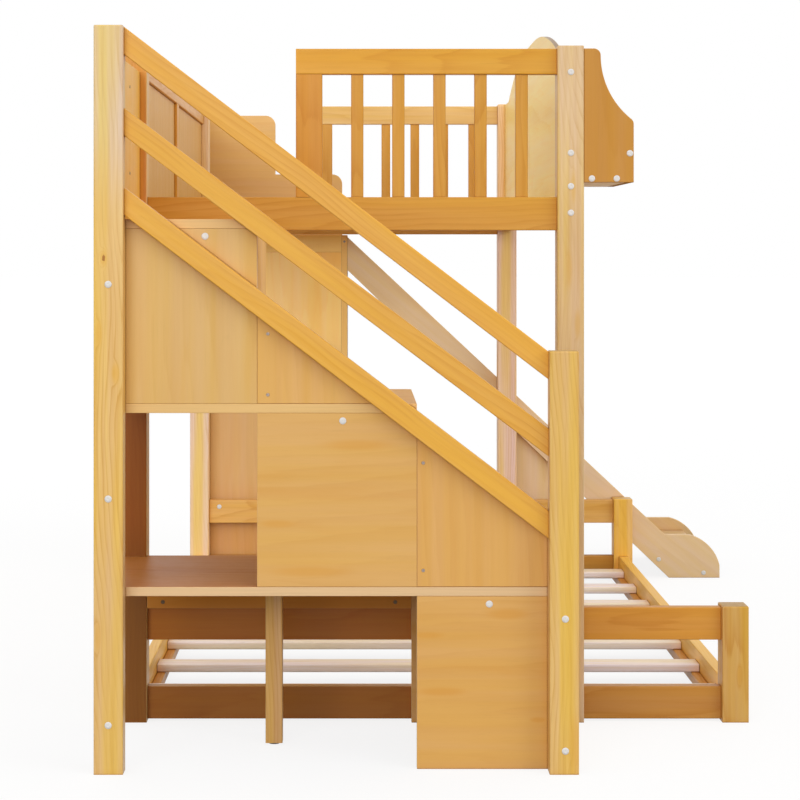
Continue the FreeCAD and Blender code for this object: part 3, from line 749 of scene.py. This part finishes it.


# Each board's share of its group's colour: partly its own tone, since no two boards of a batch are alike,
# and partly painted light and painted shade for how brightly each board is lit, such as the shelf top
# drawn darker under the tread and the risers and the arch drawn lighter.
TONE_AND_LIGHT_SHARE = {
    "stair_post_tall": (1.01, 1.02, 0.78),
    "stair_post_short": (0.95, 0.95, 0.84),
    "bed_post_near_front": (0.845, 0.905, 1.12),
    "bed_post_near_wall": (0.90, 0.88, 0.80),
    "bed_post_far_wall": (1.08, 1.20, 1.80),
    "bed_post_far_front": (1.13, 1.20, 1.95),
    "shelf_leg": (0.75, 0.67, 0.555),
    "low_posts": (0.77, 0.70, 0.46),
    "stair_rail_upper": (0.99, 0.98, 0.84),
    "stair_rail_middle": (0.97, 0.97, 0.82),
    "stair_rail_lower": (0.98, 0.99, 0.84),
    "side_panel_top": (0.99, 1.04, 1.02),
    "side_panel_middle": (0.99, 0.95, 0.80),
    "side_panel_low": (0.97, 0.89, 0.70),
    "infill_panel_middle": (1.02, 0.97, 0.80),
    "infill_panel_low": (0.99, 0.91, 0.76),
    "landing_guard": (1.20, 1.15, 0.58),
    "stair_shelf": (0.68, 0.43, 0.235),
    "stair_tread": (1.08, 1.04, 0.80),
    "end_beam_near": (0.91, 0.94, 0.67),
    "low_end_rails_upper": (0.90, 0.87, 0.68),
    "low_side_rails": (1.34, 1.68, 1.70),
    "low_end_rails_lower": (0.745, 0.73, 0.77),
    "guard_rails": (0.94, 0.94, 0.60),
    "guard_stiles": (0.84, 0.76, 0.63),
    "guard_slats": (0.84, 0.84, 0.80),
    "front_guard_arch": (1.09, 1.17, 1.08),
    "wall_guard_panels": (1.00, 0.94, 0.60),
    "book_shelf_sides": (0.80, 0.72, 0.42),
    "book_shelf_bottom": (1.45, 1.60, 0.60),
    "tower_panel_near": (0.92, 0.90, 0.93),
    "tower_band_near": (1.38, 1.48, 1.13),
    "tower_panel_wall": (0.86, 0.85, 0.85),
    "tower_panel_front": (0.90, 0.88, 0.85),
    "tower_guard_far": (1.00, 1.03, 0.95),
    "shelf_apron": (0.91, 0.67, 0.33),
    "stair_risers": (1.50, 1.80, 2.10),
    "slide_side_far": (0.84, 0.79, 0.68),
    "slide_chute": (0.80, 0.73, 0.62),
}

# Painted light and painted shade: where a board is drawn lighter or darker than its own colour for how the
# light falls on it, such as darker under the stairs and in the niche and lighter at the far end: its limits,
# each a source, an axis and the numbers between which the painted shade comes in, and then its share of the
# colour.
FAR_END = ((PLACE, 1, -0.05, 0.05),)
STAIR_FACE = (FACE, 1, -0.5, -0.9)
# The near faces under the stairs, which get painted shade.
UNDER_STAIRS = (STAIR_FACE, (PLACE, 0, 0.02, -0.06), (PLACE, 1, 0.05, -0.05))
PAINTED_SHADES = {
    "guard_rails": ((FAR_END, (1.06, 1.40, 5.10)),),
    "guard_stiles": ((FAR_END, (1.05, 1.20, 1.60)),),
    "low_posts": ((FAR_END, (1.47, 1.52, 1.56)),),
    "low_end_rails_upper": ((FAR_END, (1.20, 1.46, 2.70)), (UNDER_STAIRS, (0.67, 0.47, 0.27))),
    "low_end_rails_lower": ((FAR_END, (1.08, 1.11, 1.00)), (UNDER_STAIRS, (0.60, 0.44, 0.23))),
    "stair_post_tall": (
        (((PLACE, 2, 1.15, 1.40),), (0.95, 1.08, 2.00)),
        (((PLACE, 2, 0.60, 0.35),), (0.94, 0.94, 1.34)),
    ),
    "bed_post_near_front": ((((PLACE, 2, 1.10, 1.30),), (1.10, 1.14, 1.15)),),
    # The arch's inner face keeps its painted light; the outer face, looking the other way, is darker.
    "front_guard_arch": ((((FACE, 0, 0.3, 0.8),), (0.80, 0.68, 0.62)),),
    # Painted shade on the face of this post that looks out of the niche under the steps.
    "bed_post_near_wall": (
        ((STAIR_FACE, (PLACE, 2, 1.15, 0.95)), (0.45, 0.205, 0.033)),
        ((STAIR_FACE, (PLACE, 2, 0.50, 0.30)), (0.70, 0.84, 1.33)),
        ((STAIR_FACE, (PLACE, 2, 0.95, 1.15)), (0.92, 0.66, 0.50)),
    ),
    "tower_panel_near": (
        (((PLACE, 2, 0.60, 0.85),), (1.57, 1.74, 1.54)),
        (((PLACE, 2, 0.35, 0.15),), (0.90, 0.78, 0.62)),
        (((PLACE, 2, 1.00, 1.06), (PLACE, 0, -0.53, -0.46)), (0.95, 0.82, 0.64)),
    ),
    "slide_side_near": ((((PLACE, 0, 0.45, 0.25),), (1.06, 1.06, 1.06)),),
    "bed_post_far_front": ((((PLACE, 2, 1.10, 1.30),), (0.95, 0.97, 0.69)),),
}

# Edges of single boards against the shared banding: partly their own tone, and partly painted light and
# painted shade for how the light falls on them, such as the risers' edges drawn lighter where they lie in
# shadow.
EDGE_TONE_AND_LIGHT_SHARE = {
    "stair_shelf": (0.98, 0.98, 1.05),
    "stair_tread": (0.95, 0.87, 0.68),
    "stair_landing": (0.98, 0.88, 0.70),
    "stair_risers": (1.08, 0.84, 0.55),
    "front_guard_arch": (0.24, 0.18, 0.30),
    "book_shelf_sides": (0.85, 0.66, 0.40),
    "book_shelf_front": (0.85, 0.66, 0.40),
    "book_shelf_bottom": (0.85, 0.66, 0.40),
    "tower_panel_near": (1.00, 0.82, 0.55),
    "tower_panel_front": (1.24, 1.06, 0.63),
    "tower_band_near": (1.00, 0.82, 0.55),
}

# Where the marked faces of the stairs' posts, of their panels and of the bed's posts stand along Y.
POST_FACE = -1.457
PANEL_FACE = -1.411
BED_FACE = -0.999

# Knots and flames on single boards: centre, half spans and how dark the core is.
MARKS = {
    "stair_post_tall": (
        ((-0.8640, POST_FACE, 1.088), (0.013, 0.020, 0.030), 0.95),
        ((-0.8740, POST_FACE, 0.930), (0.012, 0.020, 0.050), 0.0),
        ((-0.8390, POST_FACE, 0.845), (0.014, 0.020, 0.040), 0.0),
        ((-0.8760, POST_FACE, 0.290), (0.011, 0.020, 0.060), 0.0),
    ),
    "stair_post_short": (
        ((0.1300, POST_FACE, 0.060), (0.028, 0.020, 0.110), 0.0),
    ),
    "side_panel_middle": (
        ((-0.5000, PANEL_FACE, 0.522), (0.070, 0.020, 0.014), 0.0),
        ((-0.3300, PANEL_FACE, 0.690), (0.130, 0.020, 0.020), 0.0),
        ((-0.4300, PANEL_FACE, 0.420), (0.150, 0.020, 0.020), 0.0),
    ),
    "side_panel_low": (
        ((-0.1500, PANEL_FACE, 0.165), (0.090, 0.020, 0.016), 0.0),
        ((-0.0100, PANEL_FACE, 0.330), (0.080, 0.020, 0.020), 0.0),
        ((-0.1800, PANEL_FACE, 0.285), (0.060, 0.020, 0.012), 0.0),
        ((0.0550, PANEL_FACE, 0.105), (0.030, 0.020, 0.010), 0.0),
    ),
    "low_posts": (
        ((0.5640, BED_FACE, 0.110), (0.012, 0.030, 0.050), 0.0),
    ),
    "bed_post_near_front": (
        ((0.1760, BED_FACE, 1.250), (0.010, 0.020, 0.070), 0.0),
        ((0.1660, BED_FACE, 1.060), (0.012, 0.020, 0.080), 0.0),
        ((0.1850, BED_FACE, 0.930), (0.012, 0.020, 0.060), 0.0),
    ),
}


def board(group, node, grain, wood, pith, flat=None, lift=0.0):
    """Finish of one CAD board: group colour times its share of tone and painted light, with its own marks.
    """
    look = bpy.context.scene.bunk_timber
    own = shared(getattr(look, group), TONE_AND_LIGHT_SHARE.get(node, even(1.0)))
    centre = middle(node) + Vector(grain).normalized() * lift
    band = shared(look.edge, EDGE_TONE_AND_LIGHT_SHARE.get(node, even(1.0))) if flat is not None else None
    marks = MARKS.get(node, ())
    painted_shades = PAINTED_SHADES.get(node, ())
    paint(node, timber(node, own, grain, centre, wood, pith, marks, band, flat, painted_shades))


# ------------ operators
class BUNK_OT_posts(bpy.types.Operator):
    """Finish the posts, the shelf leg and its glide."""

    bl_idname = "bunk.posts"
    bl_label = "Finish the posts"

    def execute(self, context):
        names = (
            "stair_post_tall", "stair_post_short", "bed_post_near_wall", "bed_post_near_front",
            "bed_post_far_wall", "bed_post_far_front", "low_posts", "shelf_leg",
        )
        for index, node in enumerate(names):
            # Each post comes from a place of its own in the log.
            pith = (0.045 + 0.012 * (index % 3), -0.05 + 0.02 * (index % 4))
            board("post", node, Z_AXIS, PINE, pith, None, 0.71 * index)
        paint("leg_glide", moulded("leg_glide", context.scene.bunk_fasteners.glide, 0.5))
        return {"FINISHED"}


class BUNK_OT_stairs(bpy.types.Operator):
    """Finish the rails, steps and panels of the stairs."""

    bl_idname = "bunk.stairs"
    bl_label = "Finish the stairs"

    def execute(self, context):
        for index, node in enumerate(("stair_rail_upper", "stair_rail_middle", "stair_rail_lower")):
            low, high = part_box(node)
            slope = Vector((high.x - low.x, 0.0, (low.z - high.z) * RAIL_FALL)).normalized()
            board("stair_rail", node, slope, GOLDEN, (0.05, 0.02 * index), None, 0.6 * index)
        for index, node in enumerate(("stair_shelf", "stair_tread", "stair_landing")):
            board("step", node, X_AXIS, VENEER, (0.09, 0.05), Z_AXIS, 0.31 * index)
        panels = {
            "side_panel_top": Z_AXIS, "side_panel_middle": X_AXIS, "side_panel_low": X_AXIS,
            "infill_panel_middle": Z_AXIS, "infill_panel_low": Z_AXIS, "landing_guard": Z_AXIS,
        }
        for index, (node, grain) in enumerate(panels.items()):
            flat = X_AXIS if node == "landing_guard" else Y_AXIS
            board("panel", node, grain, VENEER, (0.16, 0.12 - 0.03 * index), flat, 0.47 * index)
        inner = {
            "stair_risers": (Z_AXIS, X_AXIS),
            "back_panels": (X_AXIS, Y_AXIS),
            "shelf_apron": (X_AXIS, Y_AXIS),
        }
        for index, (node, (grain, flat)) in enumerate(inner.items()):
            board("inner_panel", node, grain, MATT, (0.12, 0.07 + 0.02 * index), flat)
        return {"FINISHED"}


class BUNK_OT_frame(bpy.types.Operator):
    """Finish the beams, end rails, side rails and ledgers of the bed."""

    bl_idname = "bunk.frame"
    bl_label = "Finish the bed frame"

    def execute(self, context):
        along_x = ("end_beam_near", "end_beam_far", "low_end_rails_upper", "low_end_rails_lower")
        along_y = ("side_beam_wall", "side_beam_front", "low_side_rails", "low_ledgers", "upper_ledgers")
        for grain, names in ((X_AXIS, along_x), (Y_AXIS, along_y)):
            for index, node in enumerate(names):
                board("beam", node, grain, SHADY, (0.05, 0.035 - 0.015 * index))
        return {"FINISHED"}


class BUNK_OT_guards(bpy.types.Operator):
    """Finish the end guards, the wall guard and the arched front guard."""

    bl_idname = "bunk.guards"
    bl_label = "Finish the guards"

    def execute(self, context):
        bars = {
            "guard_rails": X_AXIS, "guard_stiles": Z_AXIS,
            "wall_guard_rail": Y_AXIS, "wall_guard_divider": Z_AXIS,
        }
        for index, (node, grain) in enumerate(bars.items()):
            board("guard", node, grain, GOLDEN, (0.04 + 0.01 * index, 0.03))
        board("panel", "wall_guard_panels", Z_AXIS, VENEER, (0.14, 0.10), X_AXIS)
        board("arch", "front_guard_arch", Y_AXIS, VENEER, (0.15, 0.08), X_AXIS)
        return {"FINISHED"}


class BUNK_OT_book_shelf(bpy.types.Operator):
    """Finish the hanging book shelf."""

    bl_idname = "bunk.book_shelf"
    bl_label = "Finish the book shelf"

    def execute(self, context):
        boards = {
            "book_shelf_sides": (Z_AXIS, Y_AXIS), "book_shelf_front": (Y_AXIS, X_AXIS),
            "book_shelf_bottom": (Y_AXIS, Z_AXIS),
        }
        for node, (grain, flat) in boards.items():
            wood = VENEER if node == "book_shelf_bottom" else MATT
            board("book_shelf", node, grain, wood, (0.13, 0.09), flat)
        return {"FINISHED"}


class BUNK_OT_platform(bpy.types.Operator):
    """Finish the platform beyond the far end."""

    bl_idname = "bunk.platform"
    bl_label = "Finish the platform"

    def execute(self, context):
        boards = {
            "tower_panel_near": (Z_AXIS, Y_AXIS), "tower_band_near": (X_AXIS, Y_AXIS),
            "tower_panel_far": (Z_AXIS, Y_AXIS), "tower_panel_front": (Z_AXIS, X_AXIS),
            "tower_panel_wall": (Z_AXIS, X_AXIS), "tower_deck": (X_AXIS, Z_AXIS),
            "tower_guard_far": (X_AXIS, Y_AXIS),
        }
        for index, (node, (grain, flat)) in enumerate(boards.items()):
            board("platform", node, grain, VENEER, (0.15, 0.11 - 0.02 * index), flat)
        return {"FINISHED"}


class BUNK_OT_slide(bpy.types.Operator):
    """Finish the sides, chute and supports of the slide."""

    bl_idname = "bunk.slide"
    bl_label = "Finish the slide"

    def execute(self, context):
        low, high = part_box("slide_chute")
        slope = Vector((high.x - low.x, 0.0, low.z - high.z)).normalized()
        boards = {
            "slide_side_near": (slope, Y_AXIS), "slide_side_far": (slope, Y_AXIS),
            "slide_chute": (slope, (-slope.z, 0.0, slope.x)), "slide_supports": (Z_AXIS, Y_AXIS),
        }
        for index, (node, (grain, flat)) in enumerate(boards.items()):
            board("slide", node, grain, VENEER, (0.14, 0.09 - 0.02 * index), flat)
        return {"FINISHED"}


class BUNK_OT_slats(bpy.types.Operator):
    """Make the slats of both bases and the upright slats of the end guards."""

    bl_idname = "bunk.slats"
    bl_label = "Make the slats"

    def execute(self, context):
        look = context.scene.bunk_timber
        tree = bar_tree()
        rows = (
            ("low_slats", "lower_slats", look.slat, "slat_wood", X_AXIS, 0.0035, SAWN),
            ("upper_slats", "upper_bed_slats", look.slat, "slat_wood", X_AXIS, 0.0035, SAWN),
            ("guard_slats", "guard_uprights", look.guard, "guard_wood", Z_AXIS, 0.0025, GOLDEN),
        )
        for node, name, tone, slot, grain, radius, wood in rows:
            boxes = islands(node)
            spans = boxes[0][1] - boxes[0][0]
            if grain == X_AXIS:
                sizes = (spans.x, spans.z, spans.y)
                turn = (0.0, math.pi / 2, 0.0)
            else:
                sizes = (spans.z, spans.x, spans.y)
                turn = (0.0, 0.0, 0.0)
            places = [(low + high) / 2 for low, high in boxes]
            points = seats(name + "_points", places, [Z_AXIS] * len(places))
            # The row's share of tone and painted light.
            own = shared(tone, TONE_AND_LIGHT_SHARE.get(node, even(1.0)))
            finish = timber(name, own, grain, (0.0, 0.0, 0.0), wood, (0.03, 0.02), per_piece=True)
            values = {
                "Length": sizes[0], "Width": sizes[1], "Thickness": sizes[2],
                "Edge radius": radius, "Turn": turn, "Material": finish,
            }
            settle(grown(name, points, tree, values), node)
        return {"FINISHED"}


def fastener_seats(name, node):
    """Points in the middle of each small head, with the way it looks, and the heads' radius and height."""
    boxes = islands(node)
    spans = [high - low for low, high in boxes]
    places = [(low + high) / 2 for low, high in boxes]
    outs = [X_AXIS if span.x < span.y else NEAR_WAY for span in spans]
    return seats(name, places, outs), max(spans[0]) / 2, min(spans[0])


class BUNK_OT_covers(bpy.types.Operator):
    """Make the domed covers over the bolts."""

    bl_idname = "bunk.covers"
    bl_label = "Make the bolt covers"

    def execute(self, context):
        look = context.scene.bunk_fasteners
        points, radius, height = fastener_seats("cover_points", "bolt_caps")
        finish = moulded("bolt_covers", look.cover, 0.42)
        values = {"Radius": radius, "Height": height, "Dimple": look.dimple, "Material": finish}
        settle(grown("bolt_covers", points, cover_tree(), values), "bolt_caps")
        return {"FINISHED"}


class BUNK_OT_screws(bpy.types.Operator):
    """Make the cross head screws and the dark bolts under the low shelf."""

    bl_idname = "bunk.screws"
    bl_label = "Make the screws and bolts"

    def execute(self, context):
        look = context.scene.bunk_fasteners
        tree = screw_tree()
        rows = (
            ("screw_heads", "screws", look.screw, "screw_steel"),
            ("apron_bolts", "dark_bolts", look.bolt, "dark_steel"),
        )
        for node, name, tone, slot in rows:
            points, radius, height = fastener_seats(name + "_points", node)
            finish = metal(name, tone, 0.42)
            values = {"Radius": radius, "Height": height, "Cross width": look.cross, "Material": finish}
            settle(grown(name, points, tree, values), node)
        return {"FINISHED"}


def seen_plainly(nodes):
    """1 where the camera, a mirror image or clear stuff shows a thing, 0 where it only sends light on."""
    path = nodes.node("ShaderNodeLightPath")
    camera, glossy, clear = (
        Varying(nodes, path.outputs["Is " + kind + " Ray"]) for kind in ("Camera", "Glossy", "Transmission")
    )
    return (camera + glossy + clear).clipped()


class BUNK_OT_studio(bpy.types.Operator):
    """Set the floor, light and camera."""

    bl_idname = "bunk.studio"
    bl_label = "Set the studio"

    def execute(self, context):
        look = context.scene.bunk_studio
        scene = context.scene
        self.floor(look)
        self.light(look, scene)
        lens = bpy.data.cameras.new("Camera")
        lens.sensor_width = SENSOR_WIDTH
        lens.lens = look.lens
        lens.shift_x, lens.shift_y = look.shift
        lens.clip_end = SIGHT
        eye = placed("Camera", lens)
        eye.location = look.eye
        eye.rotation_euler = (math.pi / 2, 0.0, 0.0)
        scene.camera = eye
        scene.view_settings.view_transform = "Standard"
        return {"FINISHED"}

    def floor(self, look):
        mesh = bpy.data.meshes.new("floor")
        corners = [(x * FLOOR_REACH, y * FLOOR_REACH, 0.0) for x, y in ((-1, -1), (1, -1), (1, 1), (-1, 1))]
        mesh.from_pydata(corners, [], [(0, 1, 2, 3)])
        plane = placed("floor", mesh)
        finish = Finish("floor")
        cloud = finish.noise(finish.place(), FLOOR_CLOUDS)
        colour = finish.mix(cloud, tuple(look.floor), shared(look.floor, even(0.985)))
        lit = finish.first("ShaderNodeBsdfDiffuse", {"Color": colour})
        pale = finish.first("ShaderNodeBsdfDiffuse", {"Color": even(look.shadow)})
        glow = finish.first("ShaderNodeEmission", {"Strength": look.floor_glow})
        shown = finish.first("ShaderNodeAddShader", {0: pale, 1: glow})
        total = finish.first("ShaderNodeMixShader", {0: seen_plainly(finish), 1: lit, 2: shown})
        finish.node("ShaderNodeOutputMaterial", {"Surface": total})
        mesh.materials.append(finish.material)

    def light(self, look, scene):
        scene.world = bpy.data.worlds.new("studio")
        scene.world.use_nodes = True
        sky = Nodes(scene.world.node_tree)
        lit = sky.first("ShaderNodeBackground", {"Color": even(1.0), "Strength": look.sky})
        shown = sky.first("ShaderNodeBackground", {"Color": even(1.0), "Strength": 1.0})
        total = sky.first("ShaderNodeMixShader", {0: seen_plainly(sky), 1: lit, 2: shown})
        sky.node("ShaderNodeOutputWorld", {"Surface": total})
        for name, strength, way in (("key", look.key, look.key_way), ("fill", look.fill, look.fill_way)):
            sun = bpy.data.lights.new(name, "SUN")
            sun.energy = strength
            sun.angle = look.spread
            placed(name, sun).rotation_euler = Vector(way).to_track_quat("-Z", "Y").to_euler()


OPERATORS = (
    BUNK_OT_studio, BUNK_OT_posts, BUNK_OT_stairs, BUNK_OT_frame, BUNK_OT_guards, BUNK_OT_book_shelf,
    BUNK_OT_platform, BUNK_OT_slide, BUNK_OT_slats, BUNK_OT_covers, BUNK_OT_screws,
)


class BUNK_PT_sidebar(bpy.types.Panel):
    """Buttons and settings for the bunk bed."""

    bl_idname = "BUNK_PT_sidebar"
    bl_label = "Bunk bed"
    bl_space_type = "VIEW_3D"
    bl_region_type = "UI"
    bl_category = "Bunk bed"

    def draw(self, context):
        for operator in OPERATORS:
            self.layout.operator(operator.bl_idname)
        for group in (context.scene.bunk_timber, context.scene.bunk_fasteners, context.scene.bunk_studio):
            for name in group.__annotations__:
                self.layout.prop(group, name)


GROUPS = (
    (TimberSettings, "bunk_timber"),
    (FastenerSettings, "bunk_fasteners"),
    (StudioSettings, "bunk_studio"),
)


def register():
    for group, name in GROUPS:
        bpy.utils.register_class(group)
        setattr(bpy.types.Scene, name, bpy.props.PointerProperty(type=group))
    for operator in OPERATORS:
        bpy.utils.register_class(operator)
    bpy.utils.register_class(BUNK_PT_sidebar)


def unregister():
    bpy.utils.unregister_class(BUNK_PT_sidebar)
    for operator in reversed(OPERATORS):
        bpy.utils.unregister_class(operator)
    for group, name in reversed(GROUPS):
        delattr(bpy.types.Scene, name)
        bpy.utils.unregister_class(group)


def main():
    register()
    for operator in OPERATORS:
        family, action = operator.bl_idname.split(".")
        getattr(getattr(bpy.ops, family), action)()


if __name__ == "__main__":
    main()
